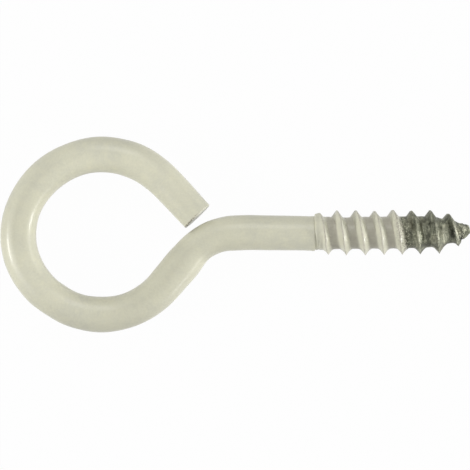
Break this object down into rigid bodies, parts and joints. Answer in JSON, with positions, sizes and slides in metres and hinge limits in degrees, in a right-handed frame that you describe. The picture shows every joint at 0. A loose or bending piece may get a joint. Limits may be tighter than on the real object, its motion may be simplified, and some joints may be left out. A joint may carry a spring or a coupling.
{
  "type": "screw eye",
  "caption": "Screw eye bent from steel wire: a closed eye with a small mouth, a crooked neck, and a straight shank with a coarse wood-screw thread and blunt point, coated up to the last turns.",
  "frame": {"origin": "middle of the eye, in the plane of the bent wire", "axes": "+X along the shank towards the point, +Z normal to the eye, and the eye's free end on the +Y side of the shank"},
  "size_m": [0.06, 0.0248, 0.0056],
  "materials": {
    "coated_steel": "satin cream coat",
    "bare_steel": "dull dark bare steel"
  },
  "bodies": {
    "root": {"screw_eye": "coated_steel"}
  },
  "joints": []
}
